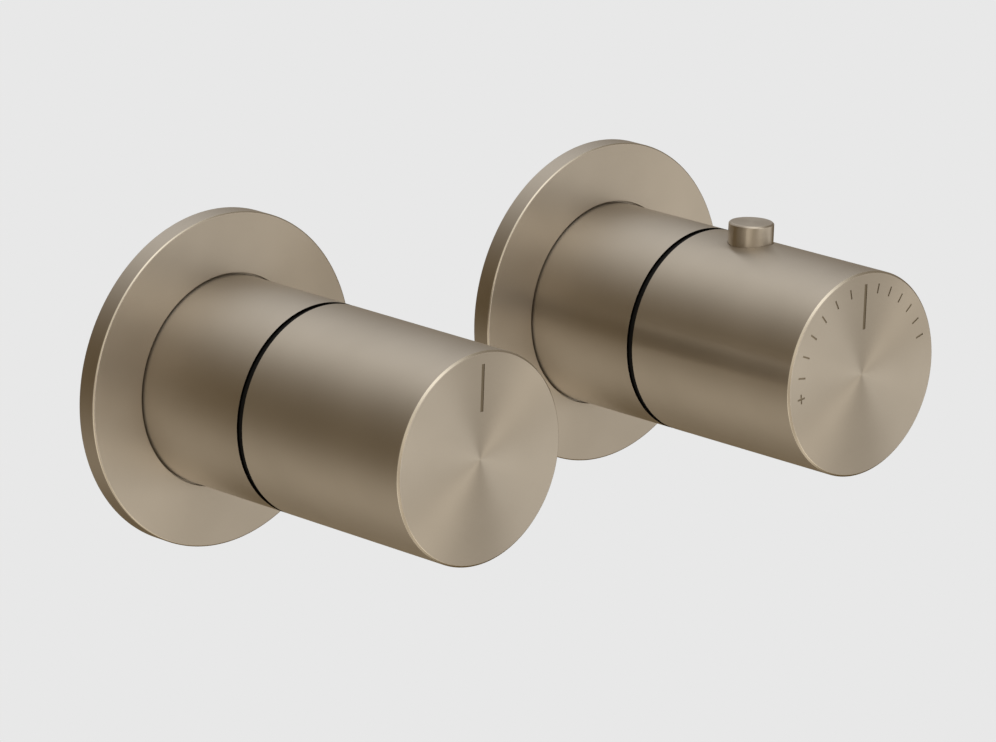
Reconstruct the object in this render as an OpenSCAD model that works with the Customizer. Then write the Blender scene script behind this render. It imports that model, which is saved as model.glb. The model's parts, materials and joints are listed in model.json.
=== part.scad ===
// Two wall-mounted controls of a thermostatic shower valve: a temperature unit with its
// wax cartridge, and a flow unit with its ceramic headwork beside it.
// The wall is the plane y = 0, the knobs point along -Y and +Z is up.
// The origin is on the wall, on the axis of the temperature unit.
// Each unit is drawn on its own axis, with z measured out from the wall and y up,
// and module on_wall() stands it on the wall.

/* [Trim] */
// Distance between the axes of the two units
unit_spacing = 125; // [100:1:220]
// Diameter of a wall rosette
rosette_d = 80; // [79:0.5:100]
// How far a rosette stands off the wall
rosette_t = 5; // [4.8:0.1:8]
// Thickness of a rosette's front plate and rim
rosette_wall = 1.5; // [1.2:0.1:1.6]
// Bevel round a rosette's front edge
rosette_bevel = 0.3; // [0.1:0.05:0.8]
// Diameter of the neck sleeve
neck_d = 50; // [49:0.5:51]
// How far the neck sleeve reaches from the wall
neck_reach = 37.5; // [37:0.5:50]
// Thickness of the sleeve's wall
sleeve_wall = 1.7; // [1.2:0.1:2]
// Width of the dark gap between sleeve and knob
shadow_gap = 1.8; // [1.2:0.1:3]
// Depth of the dark gap
shadow_depth = 0.6; // [0.3:0.1:1]

/* [Knobs] */
// Diameter of a knob
knob_d = 50; // [49:0.5:52]
// Length of a knob
knob_length = 52; // [50:0.5:70]
// Thickness of a knob's skirt
knob_wall = 2; // [1.6:0.1:2.4]
// Thickness of a knob's front plate
knob_face_t = 3; // [2:0.1:4]
// Bevel round a knob's front edge
knob_bevel = 0.5; // [0.3:0.1:1.5]
// Bevel round the small edges that face the gap
gap_bevel = 0.3; // [0.1:0.05:0.5]

/* [Dial marks] */
// Inner end of the long line, from the knob's axis
line_start = 11; // [6:0.5:16]
// Outer end of the long line, from the knob's axis
line_end = 22; // [18:0.5:23]
// Width of the long line
line_w = 0.8; // [0.4:0.1:1.5]
// Length of a short mark
tick_length = 2.4; // [1:0.1:4]
// Width of a short mark
tick_w = 0.6; // [0.3:0.05:1]
// Depth of every mark
mark_depth = 0.2; // [0.1:0.05:0.8]
// Short marks on the hotter side
hotter_marks = 6; // [0:1:6]
// Angle between marks on the hotter side
hotter_step = 14; // [8:1:14]
// Short marks on the colder side
colder_marks = 6; // [0:1:6]
// Angle between marks on the colder side
colder_step = 12; // [8:1:14]

/* [Safety button] */
// Diameter of the button
button_d = 11; // [9:0.5:11.5]
// How far the button stands out of the knob
button_rise = 4.8; // [3:0.1:7]
// Travel of the button
button_travel = 2.5; // [1:0.1:2.6]
// Distance from the knob's rear edge to the button's axis
button_from_gap = 13.9; // [13.8:0.1:16]
// Bevel round the button's top
button_bevel = 0.4; // [0.1:0.1:1]
// Diameter of the button's stem
button_stem_d = 4.8; // [4:0.1:5]

/* [Blocks and ports] */
// Thickness of a block's wall flange
flange_t = 3; // [2.6:0.1:3]
// Diameter of the screw circle
screw_pcd = 56; // [56:0.1:56.4]
// Diameter of a mounting screw
screw_d = 4; // [3.5:0.1:4]
// Diameter of a mounting screw's head
screw_head_d = 8; // [7:0.1:8]
// How far a mounting screw reaches past the wall's face
screw_reach = 8; // [4:0.5:12]
// Distance of the side ports from the axis
port_offset = 17.6; // [17:0.1:18]
// Diameter of a side port
side_port_d = 8; // [6:0.2:8]
// Diameter of the middle port
middle_port_d = 13; // [10:0.5:13]
// Depth of the side ports
port_depth = 6; // [5:0.5:6.5]
// Diameter of the water channel behind a side port
channel_d = 5.2; // [4:0.2:5.4]

/* [Wax cartridge] */
// Diameter of the cartridge's bore in the block
cartridge_bore_d = 27; // [26.5:0.1:27.5]
// Diameter of the bore that the shuttle slides in
shuttle_bore_d = 20.6; // [20.4:0.1:20.8]
// Length of the shuttle
shuttle_length = 5.8; // [5:0.1:6]
// Diameter of the wax element's cup
wax_cup_d = 7; // [6:0.1:7.4]
// Diameter of the wax element's rod
wax_rod_d = 2.4; // [1.6:0.1:3]
// Diameter of both spindles
spindle_d = 8; // [7.6:0.1:8.2]
// Advance of the feed nut for one turn of the spindle
spindle_lead = 5; // [3:0.5:5]

/* [Ceramic headwork] */
// Diameter of the ceramic discs
disc_d = 16.4; // [15.6:0.1:16.6]
// Thickness of a ceramic disc
disc_t = 2.6; // [2:0.1:2.8]

/* [Hidden] */
$fn = 96;

// Overrun of every cut past the face that it opens
overrun = 1;
// Clearance of a seated rubber ring on each side
ring_room = 0.02;
// Running clearance of a shaft, a slide or a disc
running_room = 0.08;
// Clearance between fixed pieces that slip together
slip_room = 0.1;
// Clearance between pieces that pass each other without a fit
free_room = 0.3;

// Outer trim
rosette_r = rosette_d / 2;
neck_r = neck_d / 2;
knob_r = knob_d / 2;
knob_start = neck_reach + shadow_gap;
knob_end = knob_start + knob_length;
knob_inner_r = knob_r - knob_wall;
knob_floor = knob_end - knob_face_t;
rosette_hole_room = 0.3;
plate_back = rosette_t - rosette_wall;
sleeve_inner_r = neck_r - sleeve_wall;
sleeve_lip_w = 2;
sleeve_lip_t = 0.4;
gasket_w = 4.2;

// Block
sleeve_room = 0.5;
turret_r = sleeve_inner_r - sleeve_room;
mouth_depth = 4.5;
turret_end = neck_reach - mouth_depth;
flange_rim = 0.8;
flange_r = screw_pcd / 2 + screw_head_d / 2 + flange_rim;
port_web = 2;
cavity_floor = port_depth + port_web;
screw_turns = [45, 135, 225, 315];
screw_countersink = (screw_head_d - screw_d) / 2;
screw_slot_w = 1;
screw_relief = 0.2;
screw_slot_depth = 0.8;
port_seal_section = 1.6;
port_seal_land = 0.9;
sleeve_ring_section = 1.4;
sleeve_ring_groove_w = 1.9;
sleeve_ring_inset = 5;
sleeve_ring_pitch = 16;
sleeve_ring_front = turret_end - sleeve_ring_inset;
sleeve_ring_places = [sleeve_ring_front - sleeve_ring_pitch, sleeve_ring_front];
channel_r = channel_d / 2;
mouth_thread_r = 16.5;

// Glide ring
glide_wall = 2.8;
glide_inner_r = sleeve_inner_r - glide_wall;
glide_front = knob_start - free_room;

// Cartridge, from the block's mouth inwards
nut_thread = 3.5;
nut_hex_t = 4;
nut_hex_r = 15;
bonnet_flange_t = 2.5;
bonnet_flange_r = 15.5;
bonnet_neck_r = 11;
body_flange_t = 3;
bonnet_seat = turret_end - nut_thread - bonnet_flange_t;
body_seat = bonnet_seat - body_flange_t;
body_r = cartridge_bore_d / 2 - slip_room;
body_floor_t = 2;
body_start = cavity_floor + slip_room;
body_floor = body_start + body_floor_t;
shuttle_bore_r = shuttle_bore_d / 2;
floor_hole_r = 6.2;
ring_groove_w = 1.6;
ring_groove_depth = 1;
skirt_length = 5;
skirt_start = bonnet_seat - skirt_length;

// Way that the feed nut comes out of the wall from the long line to the coldest mark
coldest_turn = colder_step * colder_marks;
nut_out_travel = spindle_lead * coldest_turn / 360;

// Shuttle and wax element
shuttle_r = shuttle_bore_r - running_room;
shuttle_wall = 1.9;
shuttle_front_room = 1.4;
shuttle_front = skirt_start - nut_out_travel - shuttle_front_room;
shuttle_back = shuttle_front - shuttle_length;
web_t = 1.5;
web_inset = 1.9;
web_front = shuttle_front - web_inset;
web_back = web_front - web_t;
web_middle = (web_back + web_front) / 2;
web_hole_r = 1.3;
shuttle_hub_r = 4.9;
shuttle_seal_section = 0.9;
wax_cup_r = wax_cup_d / 2;
wax_cup_length = 7;
wax_collar_t = 1.4;
wax_collar_front = web_front + wax_collar_t;
wax_nose_wall = 1.2;
wax_nose_r = wax_rod_d / 2 + wax_nose_wall;
wax_nose_length = 4.4;
wax_nose_end = wax_collar_front + wax_nose_length;
rod_bore_depth = 3.2;
rod_r = wax_rod_d / 2;
rod_bore_r = rod_r + running_room;

// Windows and seals of the cartridge body
window_h = 3;
window_w = 4.5;
window_count = 6;
window_spacing = 7.2;
hot_window_inset = 1.3;
hot_window = body_floor + hot_window_inset;
cold_window = hot_window + window_spacing;
middle_ring = (hot_window + window_h + cold_window) / 2;
back_ring_inset = 1.2;
back_ring = body_start + back_ring_inset;
front_ring_inset = 1.1;
front_ring = body_seat - front_ring_inset;
window_groove_room = 0.3;
window_groove_depth = 0.7;
strainer_t = 0.4;
strainer_slots = 16;
strainer_slot_w = 1.2;
strainer_rim = 0.5;

// Feed nut, overtravel spring and spindle
nut_rest_gap = 0.2;
nut_start = wax_nose_end - nut_rest_gap;
nut_r = 7.9;
nut_flat = 6.6;
nut_spring_r = 5.8;
retainer_t = 0.8;
retainer_inset = 0.4;
retainer_start = nut_start + retainer_inset;
retainer_room = 0.6;
retainer_inner_r = wax_nose_r + retainer_room;
retainer_bite = 0.5;
cup_rest_gap = 0.2;
cup_start = retainer_start + retainer_t + cup_rest_gap;
cup_t = 1.6;
cup_pocket = 0.5;
cup_end = cup_start + cup_t;
overtravel_length = 4;
nut_spring_end = cup_end + overtravel_length;
nut_thread_length = 4.2;
nut_end = nut_spring_end + nut_thread_length;
spindle_r = spindle_d / 2;
spindle_tip_room = 0.4;
spindle_tip = nut_spring_end + nut_out_travel + spindle_tip_room;
spindle_collar_w = 2;
spindle_collar_r = spindle_r + spindle_collar_w;
spindle_collar_t = 2;
collar_start = nut_end + nut_out_travel + 2 * free_room;
collar_end = collar_start + spindle_collar_t;
tower_r = 9;
tower_in_knob = 6.7;
tower_end = knob_start + tower_in_knob;
tower_start = collar_end + slip_room;
spindle_ring_inset = 2.4;
spindle_ring_pitch = 2.8;
spindle_ring_front = tower_end - spindle_ring_inset;
spindle_ring_places = [spindle_ring_front - spindle_ring_pitch, spindle_ring_front];
spindle_ring_depth = 0.8;
spindle_ring_groove_w = 1.2;
circlip_t = 0.8;
circlip_rim = 1.5;
circlip_bite = 0.6;
circlip_start = tower_end + slip_room;
spline_start = circlip_start + circlip_t + free_room;
spline_length = 11;
spline_end = spline_start + spline_length;
spline_teeth = 20;
spline_tooth = 0.5;

// Adapter and knob fixing
adapter_hub_wall = 1.8;
adapter_hub_r = spindle_r + adapter_hub_wall;
adapter_head_r = 12;
adapter_neck = 2.3;
adapter_head_start = spline_end + adapter_neck;
adapter_head_length = 17.5;
adapter_head_end = adapter_head_start + adapter_head_length;
adapter_screw_r = 2;
adapter_screw_head_r = 3.5;
adapter_screw_head_t = 3;
adapter_screw_depth = 6;
adapter_web = 5.5;
adapter_screw_seat = adapter_head_start + adapter_web;
adapter_well_r = 4.2;
hex_key_r = 1.6;
socket_wall = 2.4;
socket_room = 0.05;
socket_inner_r = adapter_head_r + socket_room;
socket_inset = 2;
socket_start = adapter_head_start + socket_inset;
grub_r = 2.5;
grub_recess = 0.7;
grub_key_r = 1.45;
grub_key_depth = 2.5;
grub_boss_r = 4.6;
grub_inset = 9.5;
grub_place = adapter_head_start + grub_inset;

// Stop ring on the tower, for the button's catch
stop_ring_w = 5.2;
stop_rim_r = tower_r + stop_ring_w;
stop_rim_h = 3.5;
stop_rim_t = 2;
stop_disc_t = 2;
stop_disc_inset = 6;
stop_disc_start = tower_end - stop_disc_inset;
stop_tooth_w = 2.6;
stop_tooth_length = 3.5;
stop_tooth_turn = 24;

// Button, guide, spring and catch, from the stop ring outwards
button_r = button_d / 2;
button_place = knob_start + button_from_gap;
button_top = knob_r + button_rise;
button_stem_r = button_stem_d / 2;
button_hole_r = button_r + running_room;
button_wire_r = 0.3;
button_spring_packed = 1.7;
stop_rim_end = button_place - button_stem_r - 2 * free_room;
catch_t = 2;
catch_w = 4;
catch_top = stop_rim_r - stop_rim_h;
catch_overhang = 2.4;
catch_back_room = 0.4;
catch_back = circlip_start + circlip_t + catch_back_room;
guide_wall = 2;
guide_r = button_hole_r + guide_wall;
guide_floor_t = 1.2;
guide_rim_room = 0.4;
guide_floor = stop_rim_r + guide_rim_room + guide_floor_t;
guide_inset = 0.6;
guide_top = knob_inner_r - guide_inset;
guide_boss_wall = 1.8;
guide_boss_h = 6;
guide_boss_start = knob_inner_r - guide_boss_h;
button_bottom = guide_floor + button_travel + button_spring_packed;

// Headwork of the flow unit
head_thread_r = 13.4;
head_barrel_r = 10.4;
head_cavity_r = head_barrel_r + slip_room;
head_chamber_r = disc_d / 2 + slip_room;
head_thread_length = 9;
head_thread_start = turret_end - head_thread_length;
head_gasket_t = 1;
head_gasket_w = 3.8;
head_hex_start = turret_end + head_gasket_t;
head_hex_t = 4.5;
head_hex_r = head_thread_r + head_gasket_w;
head_tower_r = 8;
seat_seal_t = 2.2;
seat_seal_inner_r = 5.2;
seat_seal_r = disc_d / 2;
disc_start = cavity_floor + seat_seal_t;
disc_gap = 0.04;
turning_disc_start = disc_start + disc_t + disc_gap;
turning_disc_end = turning_disc_start + disc_t;
head_barrel_start = cavity_floor + slip_room;
driver_r = 4.8;
driver_lug_w = 2;
driver_lug_reach = 2.2;
driver_lug_depth = 1.4;
driver_length = 4;
driver_collar_r = 6.5;
driver_collar_start = turning_disc_end + driver_length;
driver_collar_end = driver_collar_start + spindle_collar_t;
outlet_window_w = 7;
outlet_window_h = 4.4;
disc_hole_inner_r = 1.6;
disc_rim = 1.6;
disc_hole_r = disc_d / 2 - disc_rim;
disc_hole_turn = 80;
washer_inset = 4;
washer_start = tower_end - washer_inset;
washer_t = 1.6;
washer_r = 13;
washer_tooth_inner_r = 9.4;
washer_tooth_h = 2.4;
washer_tooth_w = 3;
washer_turns = [-36, 126];
lug_w = 4;
lug_reach = 12.4;
lug_foot_inner_r = 9.6;

// Springs
return_wire_r = 0.5;
return_coil_r = 7.2;
return_turns = 3;
overtravel_wire_r = 0.5;
overtravel_coil_r = 4.7;
overtravel_turns = 3;
button_coil_inset = 1.1;
button_coil_r = button_hole_r - button_coil_inset;
button_turns = 3;
coil_sides = 6;
coil_steps = 18;

// Stands a unit drawn along z on the wall at its own place
module on_wall(place) {
    translate([place, 0, 0]) rotate([90, 0, 0]) children();
}
module temp_side() {
    on_wall(0) children();
}
module flow_side() {
    on_wall(-unit_spacing) children();
}

// Turned, bored and ring-shaped stock
module turned(outline) {
    rotate_extrude() polygon(outline);
}
module ring(inner_r, outer_r, from_z, to_z) {
    turned([[inner_r, from_z], [outer_r, from_z], [outer_r, to_z], [inner_r, to_z]]);
}
module rod(rod_radius, from_z, to_z) {
    translate([0, 0, from_z]) cylinder(r = rod_radius, h = to_z - from_z);
}
module hexagon(corner_r, from_z, to_z) {
    translate([0, 0, from_z]) cylinder(r = corner_r, h = to_z - from_z, $fn = 6);
}
// A rod square to the axis, pointing up, whose ends are given by their distance from the axis
module upright_rod(rod_radius, from_r, to_r, at_z) {
    translate([0, 0, at_z]) rotate([-90, 0, 0]) rod(rod_radius, from_r, to_r);
}
// A box on the up side of the axis
module upright_box(width, from_r, to_r, from_z, to_z) {
    translate([-width / 2, from_r, from_z]) cube([width, to_r - from_r, to_z - from_z]);
}
module round_ring(inner_r, outer_r, at_z) {
    section_r = (outer_r - inner_r) / 2 - ring_room;
    rotate_extrude() translate([(inner_r + outer_r) / 2, at_z]) circle(r = section_r, $fn = 24);
}
module ring_groove(inner_r, outer_r, at_z, width) {
    ring(inner_r, outer_r + overrun, at_z - width / 2, at_z + width / 2);
}

// An open coil spring as one tube along a helix, from one end face to the other
function coil_point(coil_r, wire_r, length, turns, step, side) =
    let (turn = 360 * turns * step / (coil_steps * turns),
         across = 360 * side / coil_sides,
         reach = coil_r + wire_r * cos(across))
    [reach * cos(turn), reach * sin(turn),
     wire_r + (length - 2 * wire_r) * step / (coil_steps * turns) + wire_r * sin(across)];
module coil_spring(coil_r, wire_r, length, turns) {
    steps = coil_steps * turns;
    points = [for (step = [0 : steps]) for (side = [0 : coil_sides - 1])
        coil_point(coil_r, wire_r, length, turns, step, side)];
    walls = [for (step = [0 : steps - 1]) for (side = [0 : coil_sides - 1])
        let (a = step * coil_sides + side,
             b = step * coil_sides + (side + 1) % coil_sides)
        each [[a, b, b + coil_sides], [a, b + coil_sides, a + coil_sides]]];
    caps = [for (side = [1 : coil_sides - 2])
        each [[0, side + 1, side],
              [steps * coil_sides, steps * coil_sides + side, steps * coil_sides + side + 1]]];
    polyhedron(points = points, faces = concat(walls, caps));
}

// Trim shared by both units
module rosette() {
    hole_r = neck_r + rosette_hole_room;
    cup_r = rosette_r - rosette_wall;
    turned([
        [hole_r, plate_back], [cup_r, plate_back], [cup_r, 0], [rosette_r, 0],
        [rosette_r, rosette_t - rosette_bevel], [rosette_r - rosette_bevel, rosette_t],
        [hole_r, rosette_t]
    ]);
}
module wall_gasket() {
    outer_r = rosette_r - rosette_wall - slip_room;
    ring(outer_r - gasket_w, outer_r, 0, plate_back - ring_room);
}
module neck_sleeve() {
    lip_end = plate_back - ring_room;
    lip_start = lip_end - sleeve_lip_t;
    turned([
        [sleeve_inner_r, lip_start], [neck_r + sleeve_lip_w, lip_start],
        [neck_r + sleeve_lip_w, lip_end], [neck_r, lip_end],
        [neck_r, neck_reach - gap_bevel], [neck_r - gap_bevel, neck_reach],
        [sleeve_inner_r, neck_reach]
    ]);
}
module sleeve_orings() {
    for (at_z = sleeve_ring_places)
        round_ring(sleeve_inner_r - sleeve_ring_section, sleeve_inner_r, at_z);
}
module glide_ring() {
    lip_r = neck_r - shadow_depth;
    seat_r = sleeve_inner_r - ring_room;
    turned([
        [glide_inner_r, turret_end + free_room], [seat_r, turret_end + free_room],
        [seat_r, neck_reach], [lip_r, neck_reach], [lip_r, glide_front],
        [glide_inner_r, glide_front]
    ]);
}

// Block blank: wall flange, turret, screw holes, sleeve O-ring grooves and the middle port
module block_blank() {
    difference() {
        union() {
            rod(flange_r, 0, flange_t);
            rod(turret_r, 0, turret_end);
        }
        for (turn = screw_turns) rotate([0, 0, turn]) translate([screw_pcd / 2, 0, 0]) screw_hole();
        for (at_z = sleeve_ring_places)
            ring_groove(sleeve_inner_r - sleeve_ring_section, turret_r, at_z, sleeve_ring_groove_w);
        rod(middle_port_d / 2, -overrun, cavity_floor + overrun);
        seal_seat(middle_port_d / 2);
    }
}
module screw_hole() {
    hole_r = screw_d / 2 + slip_room;
    rod(hole_r, -overrun, flange_t + overrun);
    turned([
        [0, flange_t - screw_countersink], [hole_r, flange_t - screw_countersink],
        [screw_head_d / 2 + slip_room, flange_t], [screw_head_d / 2 + slip_room, flange_t + overrun],
        [0, flange_t + overrun]
    ]);
}
// Rectangular groove round a port mouth, for its face seal
module seal_seat(port_r) {
    ring(port_r + port_seal_land, port_r + port_seal_land + port_seal_section,
        -overrun, port_seal_section);
}
module seal_at(port_r) {
    seal_r = port_r + port_seal_land + port_seal_section / 2;
    section_r = port_seal_section / 2 - ring_room;
    rotate_extrude() translate([seal_r, port_seal_section / 2]) circle(r = section_r, $fn = 24);
}
module side_port(side, reach) {
    translate([side * port_offset, 0, 0]) {
        rod(side_port_d / 2, -overrun, port_depth);
        rod(channel_r, 0, reach);
        seal_seat(side_port_d / 2);
    }
}
// Cross channel from a side channel to the cavity
module cross_channel(side, at_z) {
    translate([0, 0, at_z]) rotate([0, side * 90, 0]) cylinder(r = channel_r, h = port_offset);
}
module mounting_screws() {
    for (turn = screw_turns) rotate([0, 0, turn]) translate([screw_pcd / 2, 0, 0]) mounting_screw();
}
// The thread ends at the wall's face, and the shank inside the flange is relieved
module mounting_screw() {
    thread_r = screw_d / 2;
    shank_r = thread_r - screw_relief;
    difference() {
        turned([
            [0, -screw_reach], [thread_r, -screw_reach], [thread_r, 0], [shank_r, 0],
            [shank_r, flange_t - screw_countersink], [screw_head_d / 2, flange_t], [0, flange_t]
        ]);
        translate([-screw_head_d / 2, -screw_slot_w / 2, flange_t - screw_slot_depth])
            cube([screw_head_d, screw_slot_w, screw_slot_depth + overrun]);
    }
}

// Spindle stock above the collar, with its ring and circlip grooves, splines and tapped end
module spindle_shaft(from_z) {
    difference() {
        union() {
            rod(spindle_r, from_z, circlip_start + circlip_t + overrun / 2);
            rod(spindle_r - spline_tooth, spline_start - free_room, spline_end);
            for (tooth = [0 : spline_teeth - 1]) rotate([0, 0, 360 * tooth / spline_teeth])
                upright_box(spline_tooth, 0, spindle_r - ring_room, spline_start, spline_end);
        }
        for (at_z = spindle_ring_places)
            ring_groove(spindle_r - spindle_ring_depth, spindle_r, at_z, spindle_ring_groove_w);
        ring(spindle_r - circlip_bite, spindle_r + overrun, circlip_start, circlip_start + circlip_t);
        rod(adapter_screw_r + ring_room, spline_end - adapter_screw_depth, spline_end + overrun);
    }
}
module spindle_orings() {
    for (at_z = spindle_ring_places)
        round_ring(spindle_r - spindle_ring_depth, spindle_r + running_room - ring_room, at_z);
}
module circlip() {
    difference() {
        ring(spindle_r - circlip_bite + ring_room, spindle_r + circlip_rim,
            circlip_start + ring_room, circlip_start + circlip_t - ring_room);
        translate([0, -spindle_r - circlip_rim, circlip_start])
            upright_box(spindle_r, 0, spindle_r, 0, circlip_t);
    }
}
module adapter_blank() {
    difference() {
        union() {
            rod(adapter_hub_r, spline_start, adapter_head_start + overrun);
            rod(adapter_head_r, adapter_head_start, adapter_head_end);
        }
        rod(spindle_r + ring_room, spline_start - overrun, spline_end + slip_room);
        rod(adapter_screw_r + slip_room, spline_end, adapter_screw_seat + overrun);
        rod(adapter_well_r, adapter_screw_seat, adapter_head_end + overrun);
    }
}
module adapter_screw() {
    head_end = adapter_screw_seat + adapter_screw_head_t;
    difference() {
        union() {
            rod(adapter_screw_r, spline_end - adapter_screw_depth + slip_room, adapter_screw_seat + overrun);
            rod(adapter_screw_head_r, adapter_screw_seat, head_end);
        }
        hexagon(hex_key_r, head_end - adapter_screw_head_t / 2, head_end + overrun);
    }
}

// Knob blank: skirt, front plate, adapter socket and the boss for the grub screw
module knob_blank() {
    socket_r = socket_inner_r + socket_wall;
    difference() {
        union() {
            turned([
                [knob_inner_r, knob_start], [knob_r - gap_bevel, knob_start],
                [knob_r, knob_start + gap_bevel], [knob_r, knob_end - knob_bevel],
                [knob_r - knob_bevel, knob_end], [0, knob_end], [0, knob_floor],
                [knob_inner_r, knob_floor]
            ]);
            rod(socket_r, socket_start, knob_floor + overrun);
            rotate([0, 0, 180])
                upright_rod(grub_boss_r, adapter_head_r, knob_inner_r + knob_wall / 2, grub_place);
        }
        rod(socket_inner_r, socket_start - overrun, knob_floor);
        rotate([0, 0, 180]) upright_rod(grub_r + slip_room / 2, 0, knob_r + overrun, grub_place);
        engraved_line();
    }
}
module engraved_line() {
    upright_box(line_w, line_start, line_end, knob_end - mark_depth, knob_end + overrun);
}
module engraved_tick() {
    upright_box(tick_w, line_end - tick_length, line_end, knob_end - mark_depth, knob_end + overrun);
}
module engraved_plus() {
    middle_r = line_end - tick_length / 2;
    engraved_tick();
    translate([0, middle_r, 0]) rotate([0, 0, 90]) translate([0, -middle_r, 0]) engraved_tick();
}
module grub_screw() {
    outer_end = knob_r - grub_recess;
    rotate([0, 0, 180]) difference() {
        upright_rod(grub_r, adapter_head_r + ring_room, outer_end, grub_place);
        translate([0, 0, grub_place]) rotate([-90, 0, 0])
            hexagon(grub_key_r, outer_end - grub_key_depth, outer_end + overrun);
    }
}

// Temperature unit
module temp_rosette() { color("rosybrown") temp_side() rosette(); }
module temp_wall_gasket() { color("dimgray") temp_side() wall_gasket(); }
module temp_neck_sleeve() { color("tan") temp_side() neck_sleeve(); }
module temp_sleeve_orings() { color("black") temp_side() sleeve_orings(); }
module temp_glide_ring() { color("black") temp_side() glide_ring(); }
module temp_mounting_screws() { color("silver") temp_side() mounting_screws(); }
module temp_spline_adapter() { color("white") temp_side() adapter_blank(); }
module temp_adapter_screw() { color("silver") temp_side() adapter_screw(); }
module temp_grub_screw() { color("silver") temp_side() grub_screw(); }
module temp_spindle_orings() { color("black") temp_side() spindle_orings(); }
module temp_circlip() { color("silver") temp_side() circlip(); }

module temp_block() {
    color("goldenrod") temp_side() difference() {
        block_blank();
        rod(cartridge_bore_d / 2, cavity_floor, turret_end + overrun);
        rod(mouth_thread_r, body_seat, turret_end + overrun);
        side_port(-1, hot_window + window_h / 2 + channel_r);
        side_port(1, cold_window + window_h / 2 + channel_r);
        cross_channel(-1, hot_window + window_h / 2);
        cross_channel(1, cold_window + window_h / 2);
    }
}
module temp_port_seals() {
    color("black") temp_side() {
        seal_at(middle_port_d / 2);
        for (side = [-1, 1]) translate([side * port_offset, 0, 0]) seal_at(side_port_d / 2);
    }
}

module cartridge_body() {
    color("gainsboro") temp_side() difference() {
        union() {
            rod(body_r, body_start, bonnet_seat);
            rod(mouth_thread_r - slip_room, body_seat, bonnet_seat);
        }
        rod(floor_hole_r, body_start - overrun, bonnet_seat);
        rod(shuttle_bore_r, body_floor, bonnet_seat + overrun);
        for (at_z = [back_ring, middle_ring, front_ring])
            ring_groove(body_r - ring_groove_depth, body_r, at_z, ring_groove_w);
        for (window = [hot_window, cold_window]) {
            ring(body_r - window_groove_depth, body_r + overrun,
                window - window_groove_room, window + window_h + window_groove_room);
            for (turn = [0 : window_count - 1]) rotate([0, 0, 360 * turn / window_count])
                upright_box(window_w, 0, body_r + overrun, window, window + window_h);
        }
    }
}
module cartridge_orings() {
    color("black") temp_side() for (at_z = [back_ring, middle_ring, front_ring])
        round_ring(body_r - ring_groove_depth, cartridge_bore_d / 2, at_z);
}
module inlet_strainers() {
    outer_r = body_r - ring_room;
    color("lightgray") temp_side() for (window = [hot_window, cold_window]) difference() {
        ring(outer_r - strainer_t, outer_r,
            window - window_groove_room + ring_room, window + window_h + window_groove_room - ring_room);
        for (turn = [0 : strainer_slots - 1]) rotate([0, 0, 360 * turn / strainer_slots])
            upright_box(strainer_slot_w, body_r / 2, body_r + overrun,
                window + strainer_rim / 2, window + window_h - strainer_rim / 2);
    }
}
module cartridge_bonnet() {
    color("goldenrod") temp_side() difference() {
        union() {
            rod(shuttle_bore_r - slip_room, skirt_start, bonnet_seat + overrun);
            rod(bonnet_flange_r, bonnet_seat, bonnet_seat + bonnet_flange_t);
            rod(bonnet_neck_r, bonnet_seat, tower_start);
            rod(tower_r, bonnet_seat, tower_end);
        }
        intersection() {
            rod(nut_r + running_room, skirt_start - overrun, collar_start - slip_room);
            upright_slab(nut_flat + running_room, skirt_start - overrun, collar_start - slip_room);
        }
        rod(spindle_collar_r + slip_room, collar_start - overrun, tower_start);
        rod(spindle_r + running_room, collar_start, tower_end + overrun);
    }
}
// A slab with two flats at the same distance from the axis
module upright_slab(half_width, from_z, to_z) {
    translate([-half_width, -body_r, from_z]) cube([2 * half_width, 2 * body_r, to_z - from_z]);
}
module cartridge_nut() {
    start = bonnet_seat + bonnet_flange_t;
    color("gold") temp_side() difference() {
        union() {
            rod(mouth_thread_r - slip_room, start, turret_end);
            hexagon(nut_hex_r, start, turret_end + nut_hex_t);
        }
        rod(bonnet_neck_r + free_room, start - overrun, turret_end + nut_hex_t + overrun);
    }
}
module temp_spindle() {
    color("gold") temp_side() union() {
        spindle_shaft(spindle_tip);
        rod(spindle_collar_r, collar_start, collar_end);
    }
}
module feed_nut() {
    color("khaki") temp_side() difference() {
        intersection() {
            rod(nut_r, nut_start, nut_end);
            upright_slab(nut_flat, nut_start, nut_end);
        }
        rod(nut_spring_r, nut_start - overrun, nut_spring_end);
        ring(0, nut_spring_r + retainer_bite, retainer_start, retainer_start + retainer_t);
        rod(spindle_r + running_room, nut_start, nut_end + overrun);
    }
}
module spring_retainer() {
    color("silver") temp_side() ring(retainer_inner_r, nut_spring_r + retainer_bite - ring_room,
        retainer_start + ring_room, retainer_start + retainer_t - ring_room);
}
module spring_cup() {
    color("silver") temp_side() difference() {
        rod(nut_spring_r - slip_room, cup_start, cup_end);
        rod(rod_r + slip_room, cup_start - overrun, cup_start + cup_pocket);
    }
}
module overtravel_spring() {
    color("lightsteelblue") temp_side() translate([0, 0, cup_end])
        coil_spring(overtravel_coil_r, overtravel_wire_r, overtravel_length, overtravel_turns);
}
module wax_rod() {
    color("silver") temp_side() rod(rod_r, wax_nose_end - rod_bore_depth + slip_room, cup_start + cup_pocket);
}
module wax_element() {
    color("peru") temp_side() difference() {
        union() {
            rod(wax_cup_r, web_front - wax_cup_length, wax_collar_front);
            rod(shuttle_hub_r, web_front, wax_collar_front);
            rod(wax_nose_r, web_front, wax_nose_end);
        }
        rod(rod_bore_r, wax_nose_end - rod_bore_depth, wax_nose_end + overrun);
    }
}
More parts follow.
